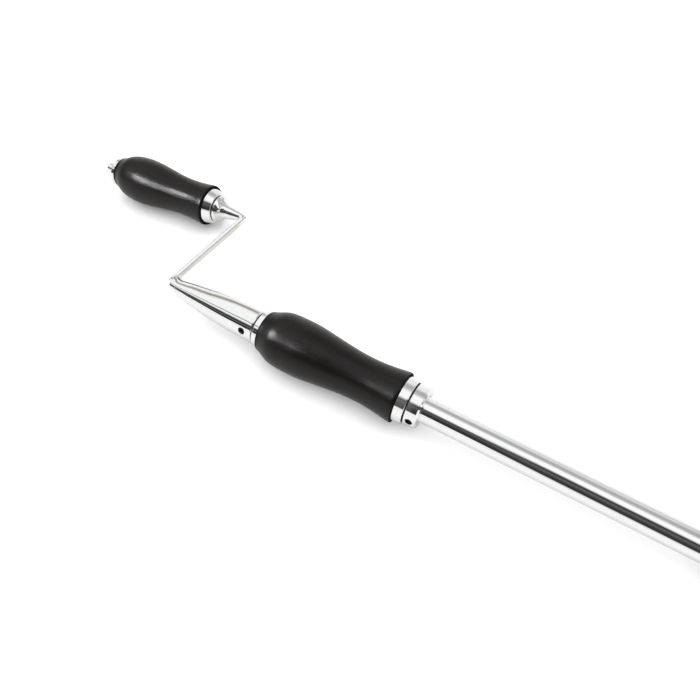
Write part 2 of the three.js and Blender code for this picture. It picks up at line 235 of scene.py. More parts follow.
def boolean(base, cutters, op="DIFFERENCE"):
    """base and cutters are (verts, faces); returns the mesh of the result, in the same local frame."""
    a = scratch("tmp_base", *base)
    others = [scratch(f"tmp_cut{i}", *c) for i, c in enumerate(cutters)]
    for c in others:
        m = a.modifiers.new("b", "BOOLEAN")
        m.operation, m.solver, m.object = op, "EXACT", c
    dg = bpy.context.evaluated_depsgraph_get()
    me = bpy.data.meshes.new_from_object(a.evaluated_get(dg))
    bm = bmesh.new()
    bm.from_mesh(me)
    bmesh.ops.remove_doubles(bm, verts=bm.verts, dist=0.003)
    bmesh.ops.dissolve_degenerate(bm, edges=bm.edges, dist=0.002)
    bm.to_mesh(me)
    bm.free()
    for o in [a] + others:
        old = o.data
        bpy.data.objects.remove(o)
        bpy.data.meshes.remove(old)
    return me


def arrays(me):
    v = np.zeros(len(me.vertices) * 3)
    me.vertices.foreach_get("co", v)
    return v.reshape(-1, 3), [tuple(p.vertices) for p in me.polygons]


def exact_normals(verts, faces, outline=None, holes=()):
    """Corner normals for a turned solid with round holes: exact on the turned faces and on each hole's wall."""
    starts = np.cumsum([0] + [len(f) for f in faces])
    loops = np.concatenate([np.array(f) for f in faces])
    face_of = np.repeat(np.arange(len(faces)), np.diff(starts))
    p = verts[loops]
    nxt = np.arange(len(loops)) + 1
    nxt[starts[1:] - 1] = starts[:-1]
    cr = np.cross(p, verts[loops[nxt]])
    fn = np.zeros((len(faces), 3))
    np.add.at(fn, face_of, cr)
    fn /= np.maximum(np.linalg.norm(fn, axis=1), 1e-12)[:, None]
    fnl = fn[face_of]
    best = fnl.copy()
    score = np.full(len(loops), 0.90)
    r = np.maximum(np.hypot(p[:, 1], p[:, 2]), 1e-9)
    radial = np.stack([p[:, 1] / r, p[:, 2] / r], 1)
    if outline:
        pts, closed = outline
        s_n, e_n = outline_normals(pts, closed)
        q = np.array(pts, float)
        count = len(pts) if closed else len(pts) - 1
        for k in range(count):
            a, b = q[k], q[(k + 1) % len(q)]
            d = b - a
            t = ((p[:, 0] - a[0]) * d[0] + (r - a[1]) * d[1]) / (d @ d)
            tc = np.clip(t, 0, 1)
            near = np.hypot(p[:, 0] - a[0] - tc * d[0], r - a[1] - tc * d[1])
            n2 = s_n[k] * (1 - tc)[:, None] + e_n[k] * tc[:, None]
            n3 = np.stack([n2[:, 0], n2[:, 1] * radial[:, 0], n2[:, 1] * radial[:, 1]], 1)
            n3 /= np.linalg.norm(n3, axis=1)[:, None]
            dot = np.einsum("ij,ij->i", n3, fnl) - near * 4
            ok = (near < 0.03) & (dot > score)
            best[ok], score[ok] = n3[ok], dot[ok]
    for o, ax, rad in holes:
        o, ax = np.array(o, float), np.array(ax, float)
        w = p - o
        w -= (w @ ax)[:, None] * ax
        d = np.linalg.norm(w, axis=1)
        n3 = -w / np.maximum(d, 1e-9)[:, None]
        dot = np.einsum("ij,ij->i", n3, fnl)
        ok = (abs(d - rad) < 0.05) & (dot > np.maximum(score, 0.9))
        best[ok], score[ok] = n3[ok], dot[ok]
    return best


PIECES = []


def piece(name, verts, faces, place, body, material, stands_for, normals=None, sharp=None, ends=None):
    """One finished piece in the row frame. normals are per face corner, in the local frame.
    ends = (material, x0, x1): faces beyond x0 or x1 along the axis take that material."""
    me = mesh_of(name, verts, faces)
    if ends:
        me.materials.append(material)
        me.materials.append(ends[0])
        x = [p.center.x for p in me.polygons]
        me.polygons.foreach_set("material_index", [int(a < ends[1] or a > ends[2]) for a in x])
    me.transform(place)
    if sharp is not None:
        me.shade_smooth()
        me.set_sharp_from_angle(angle=math.radians(sharp))
    elif normals is not None:
        rot = np.array(place.to_3x3().normalized())
        n = normals @ rot.T
        n /= np.maximum(np.linalg.norm(n, axis=1), 1e-12)[:, None]
        me.shade_smooth()
        me.normals_split_custom_set(n.tolist())
    if not ends:
        me.materials.append(material)
    o = bpy.data.objects.new(name, me)
    scene.collection.objects.link(o)
    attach(o, body)
    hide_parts(*stands_for)
    PIECES.append(o)
    return o


def turned(name, pts, place, body, material, node, segs=128, closed=True, n=4, ends=None):
    v, f, nn, _ = lathe(fillet(pts, closed, n), segs, closed)
    return piece(name, v, f, place, body, material, [node], nn, ends=ends)


def cylinder(origin, axis, r0, r1, radius, segs=40, flare=0.0, flare_at=0.0):
    """A rod along axis from r0 to r1, with an optional countersink beyond flare_at."""
    prof = [(r0, 0), (r0, radius), (r1, radius), (r1, 0)]
    if flare:
        prof = [(r0, 0), (r0, radius), (flare_at - flare, radius), (r1, radius + flare + r1 - flare_at), (r1, 0)]
    v, f, _, _ = lathe(prof, segs, False)
    ax = Vector(axis).normalized()
    q = Vector((1, 0, 0)).rotation_difference(ax).to_matrix()
    v = v @ np.array(q).T + np.array(origin, float)
    return v, f


def hex_prism(across, r0, r1, phase=0.0):
    """A hexagonal prism along X."""
    r = across / math.sqrt(3)
    v = [(x, r * math.cos(phase + k * math.pi / 3), r * math.sin(phase + k * math.pi / 3)) for x in (r0, r1) for k in range(6)]
    f = [tuple(range(6))[::-1], tuple(range(6, 12))] + [(k, (k + 1) % 6, 6 + (k + 1) % 6, 6 + k) for k in range(6)]
    return np.array(v), f


def oriented(verts, faces):
    """Turns all faces outward."""
    p = verts
    vol = 0.0
    for f in faces:
        for i in range(1, len(f) - 1):
            vol += np.dot(p[f[0]], np.cross(p[f[i]], p[f[i + 1]]))
    return [f[::-1] for f in faces] if vol < 0 else faces


def aim(verts, origin, axis):
    q = Vector((1, 0, 0)).rotation_difference(Vector(axis).normalized()).to_matrix()
    return np.asarray(verts) @ np.array(q).T + np.array(origin, float)


# ------------------------------------------------------- smooth solids by field
def surface_net(f, lo, hi, h, block=8):
    """A closed quad mesh of f = 0 on a sparse grid of step h, pulled exactly onto the surface; returns verts, faces, vertex normals."""
    lo = np.array(lo, float)
    nb = np.ceil((np.array(hi) - lo) / (h * block)).astype(int)
    bi = np.stack(np.meshgrid(*[np.arange(k) for k in nb], indexing="ij"), -1).reshape(-1, 3)
    centre = lo + (bi + 0.5) * block * h
    near = np.abs(f(centre)) < block * h * 0.5 * math.sqrt(3) * 1.9 + h
    bi = bi[near]
    g = np.stack(np.meshgrid(*[np.arange(block + 1)] * 3, indexing="ij"), -1)
    n = nb * block + 4
    ids, pos, quads = [], [], []
    key = lambda c: (c[..., 0] * n[1] + c[..., 1]) * n[2] + c[..., 2]
    corners = [(a, b, c) for a in (0, 1) for b in (0, 1) for c in (0, 1)]
    edges = [(a, b) for a in range(8) for b in range(a + 1, 8) if sum(x != y for x, y in zip(corners[a], corners[b])) == 1]
    for s in range(0, len(bi), 400):
        b = bi[s : s + 400]
        ijk = b[:, None, None, None, :] * block + g
        val = f((lo + ijk * h).reshape(-1, 3)).reshape(ijk.shape[:-1])
        cv = np.stack([val[:, a : a + block, c : c + block, d : d + block] for a, c, d in corners], -1)
        cell = ijk[:, :block, :block, :block]
        neg = cv < 0
        act = neg.any(-1) & ~neg.all(-1)
        cva, ca = cv[act], cell[act]
        acc, cnt = np.zeros((len(ca), 3)), np.zeros(len(ca))
        for a, c in edges:
            va, vc = cva[:, a], cva[:, c]
            x = (va < 0) != (vc < 0)
            t = np.where(x, va / np.where(x, va - vc, 1), 0)
            pa, pc = np.array(corners[a], float), np.array(corners[c], float)
            acc += np.where(x[:, None], pa + t[:, None] * (pc - pa), 0)
            cnt += x
        ids.append(key(ca))
        pos.append(lo + (ca + acc / cnt[:, None]) * h)
        for ax in range(3):
            e = np.zeros(3, int)
            e[ax] = 1
            a0 = neg[..., 0]
            a1 = neg[..., corners.index(tuple(e))]
            hit = a0 != a1
            c0, flip = cell[hit], a0[hit]
            u, w = np.zeros(3, int), np.zeros(3, int)
            u[(ax + 1) % 3], w[(ax + 2) % 3] = 1, 1
            q = np.stack([key(c0 - u - w), key(c0 - w), key(c0), key(c0 - u)], 1)
            q[~flip] = q[~flip][:, ::-1]
            quads.append(q)
    ids, pos, quads = np.concatenate(ids), np.concatenate(pos), np.concatenate(quads)
    order = np.argsort(ids)
    ids, pos = ids[order], pos[order]
    faces = np.searchsorted(ids, quads)
    faces = np.clip(faces, 0, len(ids) - 1)
    assert (ids[faces] == quads).all(), "the field leaves its box"

    def grad(p, e=0.02):
        out = np.zeros_like(p)
        for k in range(3):
            d = np.zeros(3)
            d[k] = e
            out[:, k] = (f(p + d) - f(p - d)) / (2 * e)
        return out

    def project(p, steps):
        for _ in range(steps):
            gr = grad(p)
            p = p - (f(p) / np.maximum((gr**2).sum(1), 1e-6))[:, None] * gr
        return p

    pos = project(pos, 2)
    a = faces[:, [0, 1, 2, 3]].ravel()
    b = faces[:, [1, 2, 3, 0]].ravel()
    for _ in range(3):  # evens the quads out, then back onto the surface
        tot, cnt = np.zeros_like(pos), np.zeros(len(pos))
        np.add.at(tot, a, pos[b])
        np.add.at(cnt, a, 1)
        np.add.at(tot, b, pos[a])
        np.add.at(cnt, b, 1)
        pos = project(pos + 0.5 * (tot / cnt[:, None] - pos), 1)
    pos = project(pos, 2)
    nrm = grad(pos)
    nrm /= np.linalg.norm(nrm, axis=1)[:, None]
    return pos, [tuple(q) for q in faces.tolist()], nrm


def smin(a, b, k):
    h = np.maximum(k - np.abs(a - b), 0) / k
    return np.minimum(a, b) - h * h * k * 0.25


def smax(a, b, k):
    return -smin(-a, -b, k)


# ------------------------------------------------------------------- materials
def nodes_of(name):
    m = bpy.data.materials.new(name)
    m.use_nodes = True
    nt = m.node_tree
    nt.nodes.clear()
    out = nt.nodes.new("ShaderNodeOutputMaterial")
    b = nt.nodes.new("ShaderNodeBsdfPrincipled")
    nt.links.new(b.outputs[0], out.inputs[0])
    return m, nt, b


def add(nt, kind, **kw):
    n = nt.nodes.new(kind)
    for k, v in kw.items():
        if k in n.inputs:
            n.inputs[k].default_value = v
        else:
            setattr(n, k, v)
    return n


def coords(nt, place, scale):
    """Local coordinates of the piece in millimetres, turned to its own axis, then scaled."""
    tc = nt.nodes.new("ShaderNodeTexCoord")
    inv = place.inverted()
    mp = nt.nodes.new("ShaderNodeMapping")
    mp.vector_type = "POINT"
    mp.inputs["Location"].default_value = inv.to_translation()
    mp.inputs["Rotation"].default_value = inv.to_euler()
    mp.inputs["Scale"].default_value = (1000, 1000, 1000)
    nt.links.new(tc.outputs["Object"], mp.inputs["Vector"])
    m2 = nt.nodes.new("ShaderNodeMapping")
    m2.inputs["Scale"].default_value = scale
    nt.links.new(mp.outputs[0], m2.inputs["Vector"])
    return m2.outputs[0], mp.outputs[0]


def noise(nt, vec, scale, detail=3.0, rough=0.55, distortion=0.0):
    n = add(nt, "ShaderNodeTexNoise")
    n.inputs["Scale"].default_value = scale
    n.inputs["Detail"].default_value = detail
    n.inputs["Roughness"].default_value = rough
    n.inputs["Distortion"].default_value = distortion
    nt.links.new(vec, n.inputs["Vector"])
    return n.outputs["Fac"]


def ramp(nt, fac, stops, interp="LINEAR"):
    n = nt.nodes.new("ShaderNodeValToRGB")
    n.color_ramp.interpolation = interp
    while len(n.color_ramp.elements) < len(stops):
        n.color_ramp.elements.new(0.5)
    for e, (p, c) in zip(n.color_ramp.elements, stops):
        e.position = p
        e.color = (c, c, c, 1) if isinstance(c, (int, float)) else (*c, 1)
    nt.links.new(fac, n.inputs["Fac"])
    return n.outputs["Color"]


def mathn(nt, op, a, b=None, c=None, clamp=False):
    n = nt.nodes.new("ShaderNodeMath")
    n.operation = op
    n.use_clamp = clamp
    for i, v in enumerate((a, b, c)):
        if v is None:
            continue
        if isinstance(v, (int, float)):
            n.inputs[i].default_value = v
        else:
            nt.links.new(v, n.inputs[i])
    return n.outputs[0]


def bump(nt, height, strength, distance, normal=None):
    n = nt.nodes.new("ShaderNodeBump")
    n.inputs["Strength"].default_value = strength
    n.inputs["Distance"].default_value = distance
    nt.links.new(height, n.inputs["Height"])
    if normal is not None:
        nt.links.new(normal, n.inputs["Normal"])
    return n.outputs[0]


def mix(nt, fac, a, b):
    n = nt.nodes.new("ShaderNodeMix")
    n.data_type = "RGBA"
    for i, v in ((0, fac), (6, a), (7, b)):
        if isinstance(v, (int, float)):
            n.inputs[i].default_value = v
        elif isinstance(v, tuple):
            n.inputs[i].default_value = (*v, 1)
        else:
            nt.links.new(v, n.inputs[i])
    return n.outputs[2]


def wood_material(name, place, seed):
    """Black-stained turned hardwood under satin lacquer: grain along X, open pores, worn sheen."""
    m, nt, b = nodes_of(name)
    grain_v, mm = coords(nt, place, (0.055, 1.0, 1.0))
    off = nt.nodes.new("ShaderNodeVectorMath")
    off.operation = "ADD"
    off.inputs[1].default_value = (seed * 3.1, seed * 17.3, seed * 5.7)
    nt.links.new(grain_v, off.inputs[0])
    gv = off.outputs[0]
    figure = noise(nt, gv, 0.42, 4, 0.6, 0.6)
    fibre = noise(nt, gv, 2.6, 5, 0.65)
    pores = noise(nt, gv, 5.2, 2, 0.5)
    cloud = noise(nt, mm, 0.05, 3, 0.5)
    c = mix(nt, ramp(nt, figure, [(0.32, 0.0), (0.68, 1.0)]), (0.0016, 0.0010, 0.0008), (0.0044, 0.0028, 0.0022))
    c = mix(nt, ramp(nt, fibre, [(0.45, 0.0), (0.8, 0.55)]), c, (0.0085, 0.0056, 0.0044))
    pore_mask = ramp(nt, pores, [(0.60, 0.0), (0.68, 1.0)])
    c = mix(nt, pore_mask, c, (0.0010, 0.0007, 0.0006))
    nt.links.new(c, b.inputs["Base Color"])
    ro = mathn(nt, "ADD", mathn(nt, "MULTIPLY", ramp(nt, cloud, [(0.3, 0.0), (0.7, 1.0)]), 0.06), 0.33)
    ro = mathn(nt, "ADD", ro, mathn(nt, "MULTIPLY", fibre, 0.08))
    nt.links.new(ro, b.inputs["Roughness"])
    b.inputs["Specular IOR Level"].default_value = 0.12
    b.inputs["Coat Weight"].default_value = 0.34
    b.inputs["Coat Roughness"].default_value = 0.11
    b.inputs["Coat IOR"].default_value = 1.45
    height = mathn(nt, "SUBTRACT", mathn(nt, "MULTIPLY", fibre, 0.5), mathn(nt, "MULTIPLY", pore_mask, 0.5))
    n1 = bump(nt, height, 0.35, 0.00012)
    fine = noise(nt, mm, 3.1, 2, 0.5)
    n2 = bump(nt, fine, 0.10, 0.00008, n1)
    nt.links.new(n2, b.inputs["Normal"])
    ripple = noise(nt, gv, 0.75, 4, 0.65, 0.3)
    nt.links.new(bump(nt, ripple, 0.42, 0.00045, bump(nt, height, 0.26, 0.00010)), b.inputs["Coat Normal"])
    return m


def chrome_material(name, place, wave=0.0, tint=(0.925, 0.928, 0.930), flank=None):
    """Polished chrome plate: nearly perfect mirror, faint haze, hair-fine polishing lines, optional hand-polished
    waviness and optional painted shade on one flank.
    """
    m, nt, b = nodes_of(name)
    v, mm = coords(nt, place, (3.0, 0.12, 0.12))
    hair = noise(nt, v, 6.0, 4, 0.7)
    haze = noise(nt, mm, 0.22, 4, 0.6)
    speck = noise(nt, mm, 2.4, 2, 0.4)
    b.inputs["Metallic"].default_value = 1.0
    dark = tuple(t * 0.955 for t in tint)
    c = mix(nt, ramp(nt, haze, [(0.35, 0.0), (0.75, 1.0)]), tint, dark)
    if flank:  # the bar's flank gets painted shade: grey stripes that dim its reflection on faces turned towards direction
        direction, y1 = flank
        tn = nt.nodes.new("ShaderNodeTexCoord")
        dp = nt.nodes.new("ShaderNodeVectorMath")
        dp.operation = "DOT_PRODUCT"
        dp.inputs[1].default_value = direction
        nt.links.new(tn.outputs["Normal"], dp.inputs[0])
        sp = nt.nodes.new("ShaderNodeSeparateXYZ")
        nt.links.new(mm, sp.inputs[0])
        on = nt.nodes.new("ShaderNodeMapRange")
        on.interpolation_type = "SMOOTHSTEP"
        on.inputs["From Min"].default_value, on.inputs["From Max"].default_value = 0.35, 0.95
        nt.links.new(dp.outputs["Value"], on.inputs["Value"])
        reach = nt.nodes.new("ShaderNodeMapRange")
        reach.interpolation_type = "SMOOTHSTEP"
        reach.inputs["From Min"].default_value, reach.inputs["From Max"].default_value = y1, y1 - 8
        nt.links.new(sp.outputs["Y"], reach.inputs["Value"])
        start = nt.nodes.new("ShaderNodeMapRange")
        start.interpolation_type = "SMOOTHSTEP"
        start.inputs["From Min"].default_value, start.inputs["From Max"].default_value = 5, 14
        nt.links.new(sp.outputs["Y"], start.inputs["Value"])
        lines_v, _ = coords(nt, place, (0.5, 0.03, 1.6))
        lines = noise(nt, lines_v, 1.0, 3, 0.6)
        # painted shade: the flank's reflection is dimmed to grey stripes
        flank_painted_shade = ramp(nt, lines, [(0.35, (0.60, 0.59, 0.565)), (0.6, (0.80, 0.79, 0.765))])
        c = mix(nt, mathn(nt, "MULTIPLY", mathn(nt, "MULTIPLY", on.outputs[0], reach.outputs[0]), start.outputs[0]), c, flank_painted_shade)
    nt.links.new(c, b.inputs["Base Color"])
    r = mathn(nt, "ADD", mathn(nt, "MULTIPLY", ramp(nt, haze, [(0.4, 0.0), (0.8, 1.0)]), 0.030), 0.032)
    r = mathn(nt, "ADD", r, mathn(nt, "MULTIPLY", ramp(nt, speck, [(0.68, 0.0), (0.8, 1.0)]), 0.05))
    nt.links.new(r, b.inputs["Roughness"])
    n1 = bump(nt, hair, 0.03, 0.00003)
    if wave:
        slow = noise(nt, mm, 0.10, 2, 0.5)
        n1 = bump(nt, slow, wave, 0.0012, n1)
    nt.links.new(n1, b.inputs["Normal"])
    return m


def steel_material(name, place, base, rough=0.3, lines=14.0, strength=0.12):
    """Turned or ground steel: fine rings across the axis, slight tarnish."""
    m, nt, b = nodes_of(name)
    v, mm = coords(nt, place, (1.0, 0.02, 0.02))
    ring = noise(nt, v, lines, 3, 0.6)
    stain = noise(nt, mm, 0.16, 5, 0.65)
    b.inputs["Metallic"].default_value = 1.0
    c = mix(nt, ramp(nt, stain, [(0.35, 0.0), (0.7, 1.0)]), base, tuple(x * 0.72 for x in base))
    c = mix(nt, ramp(nt, ring, [(0.5, 0.0), (0.8, 0.35)]), c, tuple(min(1, x * 1.25) for x in base))
    nt.links.new(c, b.inputs["Base Color"])
    nt.links.new(mathn(nt, "ADD", mathn(nt, "MULTIPLY", ring, 0.16), rough - 0.08), b.inputs["Roughness"])
    nt.links.new(bump(nt, ring, strength, 0.00005), b.inputs["Normal"])
    return m


def dull_material(name, place, base, metallic, rough):
    """Oxide-black steel, bronze or fibre: grainy, slightly mottled."""
    m, nt, b = nodes_of(name)
    _, mm = coords(nt, place, (1, 1, 1))
    grain = noise(nt, mm, 3.0, 4, 0.6)
    mottle = noise(nt, mm, 0.4, 4, 0.6)
    b.inputs["Metallic"].default_value = metallic
    c = mix(nt, ramp(nt, mottle, [(0.35, 0.0), (0.7, 1.0)]), base, tuple(x * 0.6 for x in base))
    c = mix(nt, ramp(nt, grain, [(0.55, 0.0), (0.8, 0.5)]), c, tuple(min(1, x * 1.5) for x in base))
    nt.links.new(c, b.inputs["Base Color"])
    nt.links.new(mathn(nt, "ADD", mathn(nt, "MULTIPLY", grain, 0.2), rough - 0.1), b.inputs["Roughness"])
    nt.links.new(bump(nt, grain, 0.2, 0.00005), b.inputs["Normal"])
    return m


def end_grain_material(name, place):
    """The stained end grain of the grips: matt black, with fine open pores."""
    m, nt, b = nodes_of(name)
    _, mm = coords(nt, place, (1, 1, 1))
    pores = noise(nt, mm, 4.0, 3, 0.6)
    c = mix(nt, ramp(nt, pores, [(0.4, 0.0), (0.65, 1.0)]), (0.0012, 0.0011, 0.0010), (0.0042, 0.0036, 0.0032))
    nt.links.new(c, b.inputs["Base Color"])
    b.inputs["Roughness"].default_value = 0.8
    b.inputs["Specular IOR Level"].default_value = 0.12
    nt.links.new(bump(nt, pores, 0.3, 0.00008), b.inputs["Normal"])
    return m


end_c = end_grain_material("end_grain_center", M_TOOL)
end_h = end_grain_material("end_grain_handle", M_HANDLE)
wood_c = wood_material("ebonised_wood_center", M_TOOL, 1.0)
wood_h = wood_material("ebonised_wood_handle", M_HANDLE, 2.0)
chrome_tool = chrome_material("polished_chrome_tool", M_TOOL)
chrome_crank = chrome_material("polished_chrome_crank", M_CRANK)
# the forging's chrome carries painted shade on the bar's flank, picked by the faces' direction
flank_dir = (M_CRANK.to_3x3() @ Vector((math.cos(math.radians(5.1)), -math.sin(math.radians(5.1)), -0.25))).normalized()
chrome_forged = chrome_material("polished_chrome_forging", M_CRANK, wave=0.05, flank=(flank_dir, 84.0))
chrome_handle = chrome_material("polished_chrome_handle", M_HANDLE)
steel = steel_material("turned_steel", M_CRANK, (0.52, 0.52, 0.51), 0.28)
steel_h = steel_material("turned_steel_handle", M_HANDLE, (0.52, 0.52, 0.51), 0.28)
hard = steel_material("hardened_steel", M_CRANK, (0.30, 0.295, 0.29), 0.33, 9.0, 0.10)
black = dull_material("blackened_steel", M_CRANK, (0.030, 0.030, 0.033), 1.0, 0.42)
bronze = dull_material("bronze", M_TOOL, (0.46, 0.27, 0.11), 1.0, 0.38)
fibre = dull_material("black_fibre", M_CRANK, (0.010, 0.010, 0.010), 0.0, 0.75)

# ---------------------------------------------------------------- centre grip
grip = spline((-58.2, 55), [15.7, 20.4, 21.33, 21.02, 19.6, 18.05, 16.95, 16.72, 17.65, 19.2], 150)
outline = [(-58.2, 12.6), (-58.2, 15.7 - 0.3, 0.25), *[p for p in grip if -57.9 < p[0] < 54.1]]
outline += [(54.45, 19.0), (54.8, 18.84), (55.0, 18.47), (55.0, 14.2), (60.6, 14.2), (61.0, 13.8), (61.0, 12.6),
            (46.0, 12.6), (46.0, 10.5), (-42.0, 10.5), (-42.0, 12.6)]
turned("center_grip_body", outline, M_TOOL, "center_grip", wood_c, "center_grip_wood", 160,
       ends=(end_c, -56.7, 54.7))
turned("center_grip_rear_bush", [
    (-63.0, 9.9, 0.2), (-42.3, 9.9, 0.2), (-42.3, 12.2, 0.3), (-58.5, 12.2, 0.1), (-58.5, 14.1, 0.3), (-63.0, 14.1, 0.7),
], M_TOOL, "center_grip", chrome_tool, "center_grip_rear_flange_bush", 128)
turned("center_grip_front_bushing", [
    (46.3, 9.9, 0.3), (60.7, 9.9, 0.3), (60.7, 12.2, 0.3), (46.3, 12.2, 0.3),
], M_TOOL, "center_grip", bronze, "center_grip_front_bush", 96)
turned("center_grip_ferrule", [
    (55.3, 14.5, 0.1), (61.3, 14.5, 0.1), (61.3, 10.3, 0.1), (62.6, 10.3, 0.15), (62.6, 16.87, 0.7), (55.3, 16.87, 0.3),
], M_TOOL, "center_grip", chrome_tool, "center_grip_front_ferrule", 160, n=6)

# ------------------------------------------------------------------ crank arm
HUB = smooth_curve([
    (-149.9, 1.9), (-149.3, 3.0), (-147.4, 4.2), (-144.5, 5.2), (-140, 6.35), (-134, 7.45), (-128, 8.4), (-120, 9.4),
    (-112, 10.4), (-103, 11.4), (-94, 12.1), (-84, 12.65), (-74, 13.0), (-64.2, 13.18),
])
BELL = smooth_curve([
    (-25.2, 11.7), (-24.5, 11.8), (-23.2, 11.5), (-22.0, 10.6), (-20.8, 9.1), (-19.6, 7.4), (-18.2, 6.5), (-16.4, 6.0),
    (-13.2, 5.5), (-9.8, 4.8), (-6.4, 4.1), (-3.4, 3.4), (-1.4, 2.7),
])
hub_x, hub_r = np.array(HUB).T
bell_x, bell_r = np.array(BELL).T
hub_s = np.gradient(hub_r, hub_x)
bell_s = np.gradient(bell_r, bell_x)
LEAN = math.radians(5.1)
YAW = math.radians(3.5)
BAR_U = np.array([math.sin(LEAN), math.cos(LEAN), 0])
BAR_V = np.array([math.cos(LEAN), -math.sin(LEAN), 0])
BAR_O = np.array([-149.7, 0, 0]) + BAR_U * (0.9 / math.cos(LEAN))
BAR_L = (89.75 - 0.9) / math.cos(LEAN)
H0 = np.array([-141.8, 88.4, 0])
H_U = np.array([math.cos(YAW), math.sin(YAW), 0])
HUB_SCREW_A = math.radians(159 + 1.08)
HUB_SCREW_D = np.array([0, math.cos(HUB_SCREW_A), math.sin(HUB_SCREW_A)])


def revolve_field(x, r, px, pr, ps, x0, x1, k):
    slope = np.interp(x, px, ps)
    d = (r - np.interp(x, px, pr)) / np.sqrt(1 + slope**2)
    d = smax(d, x - x1, k)
    return smax(d, x0 - x, k)


def forging(p):
    x, y, z = p[:, 0], p[:, 1], p[:, 2]
    r = np.hypot(y, z)
    hub = revolve_field(x, r, hub_x, hub_r, hub_s, -149.9, -64.2, 1.1)
    q = p - BAR_O
    along, across = q @ BAR_U, q @ BAR_V
    c = 1.05
    dx = np.abs(across) - (2.2 - c)
    dy = np.abs(along - BAR_L / 2) - (BAR_L / 2 - c)
    dz = np.abs(z) - (2.5 - c)
    bar = np.sqrt(np.maximum(dx, 0) ** 2 + np.maximum(dy, 0) ** 2 + np.maximum(dz, 0) ** 2)
    bar = bar + np.minimum(np.maximum(dx, np.maximum(dy, dz)), 0) - c
    w = p - H0
    t = w @ H_U
    rr = np.sqrt(np.maximum((w**2).sum(1) - t * t, 0))
    bell = revolve_field(t, rr, bell_x, bell_r, bell_s, -25.4, -1.4, 0.3)
    corner = 2.4 + 7.2 * np.clip((x + 150.0) / 4.0, 0, 1) ** 2
    d = smin(smin(hub, bar, corner), bell, 1.8)
    d = smax(d, -np.maximum(r - 9.9, -97.6 - x), 0.4)
    s = np.maximum(rr - 4.36, t + 17.2)
    d = smax(d, -s, 0.4)
    e = p - np.array([-72.1, 0, 0])
    h = e @ HUB_SCREW_D
    hole = np.sqrt(np.maximum((e**2).sum(1) - h * h, 0)) - 2.72
    d = smax(d, -np.maximum(hole, 5 - h), 0.5)
    return d


fv, ff, fn = surface_net(forging, (-169.5, -14.6, -14.6), (-62.5, 103.0, 14.6), 0.42)
loops = np.concatenate([np.array(f) for f in ff])
piece("crank_forging", fv, ff, M_CRANK, "crank_shaft", chrome_forged, ["crank_arm"], fn[loops])


def grub_screw(name, u, angle, r0, r1, node):
    """A cup-point set screw with a hexagon socket, seen at the bottom of its hole."""
    d = (0, math.cos(angle), math.sin(angle))
    v, f, _, _ = lathe(fillet([(r0, 0), (r0, 1.6), (r0 + 0.5, 2.4, 0.1), (r1, 2.4, 0.35), (r1, 0)], False), 40, False)
    me = boolean((v, f), [hex_prism(2.5, r1 - 1.5, r1 + 1)])
    v, f = arrays(me)
    return piece(name, aim(v, (u, 0, 0), d), f, M_CRANK, "crank_shaft", black, [node], sharp=30)


grub_screw("hub_grub_screw", -72.1, HUB_SCREW_A, 9.85, 12.2, "hub_set_screw")

# ----------------------------------------------------------- tube and collars
def cut_lathe(name, pts, cutters, holes, place, body, material, node, segs=160, n=4):
    v, f, _, outline = lathe(fillet(pts, True, n), segs, True)
    v, f = arrays(boolean((v, f), cutters))
    return piece(name, v, f, place, body, material, [node], exact_normals(v, f, outline, holes))


cut_lathe("spindle_tube", [(-97.2, 7.9, 0.3), (281.0, 7.9, 0.3), (281.0, 9.5, 0.5), (-97.2, 9.5, 0.5)],
          [cylinder((268, 0, 0), (0, 0, 1), -15, 15, 2.1)], [((268, 0, 0), (0, 0, 1), 2.1)],
          M_CRANK, "crank_shaft", chrome_crank, "main_tube", 160)
CA = math.radians(173 + 1.08)
CD = (0, math.cos(CA), math.sin(CA))
cut_lathe("tube_stop_collar", [(63.55, 9.9, 0.3), (72.6, 9.9, 0.3), (72.6, 14.2, 0.35), (71.3, 15.5, 0.35), (63.55, 15.5, 0.3)],
          [cylinder((67.9, 0, 0), CD, 5, 20, 2.72, 48, 0.25, 15.5)], [((67.9, 0, 0), CD, 2.72)],
          M_CRANK, "crank_shaft", chrome_crank, "stop_collar", 192)
grub_screw("collar_grub_screw", 67.9, CA, 9.85, 13.8, "collar_set_screw")
turned("rear_washer", [(-63.9, 10, 0.1), (-63.3, 10, 0.1), (-63.3, 12.4, 0.2), (-63.9, 12.4, 0.2)],
       M_CRANK, "crank_shaft", fibre, "rear_thrust_washer", 96)
turned("front_washer", [(62.9, 10, 0.05), (63.25, 10, 0.05), (63.25, 15.0, 0.08), (62.9, 15.0, 0.08)],
       M_CRANK, "crank_shaft", fibre, "front_thrust_washer", 96)

# --------------------------------------------------------------- crank handle
hand = spline((-127.4, -33.7), [12.8, 17.95, 19.72, 19.35, 17.9, 16.25, 15.65, 16.1, 17.4], 130)
outline = [(-127.4, 7.5), (-127.4, 12.5, 0.2), *[p for p in hand if -127.1 < p[0] < -34.5]]
outline += [(-34.15, 17.15), (-33.85, 17.0), (-33.7, 16.65), (-33.7, 10.7), (-27.7, 10.7), (-27.4, 10.4), (-27.4, 7.5),
            (-40.0, 7.5), (-40.0, 5.0), (-115.2, 5.0), (-115.2, 7.5)]
turned("crank_handle_grip", outline, M_HANDLE, "crank_handle", wood_h, "crank_handle_wood", 160,
       ends=(end_h, -125.3, -34.05))
turned("crank_handle_ferrule_ring", [
    (-33.4, 11.05, 0.1), (-27.1, 11.05, 0.1), (-27.1, 5.0, 0.1), (-26.0, 5.0, 0.15), (-26.0, 13.4, 0.6), (-33.4, 15.2, 0.3),
], M_HANDLE, "crank_handle", chrome_handle, "crank_handle_ferrule", 160, n=6)
turned("crank_handle_outer_bushing", [(-127.1, 4.4, 0.3), (-115.5, 4.4, 0.3), (-115.5, 7.1, 0.3), (-127.1, 7.1, 0.3)],
       M_HANDLE, "crank_handle", bronze, "crank_handle_outer_bush", 96)
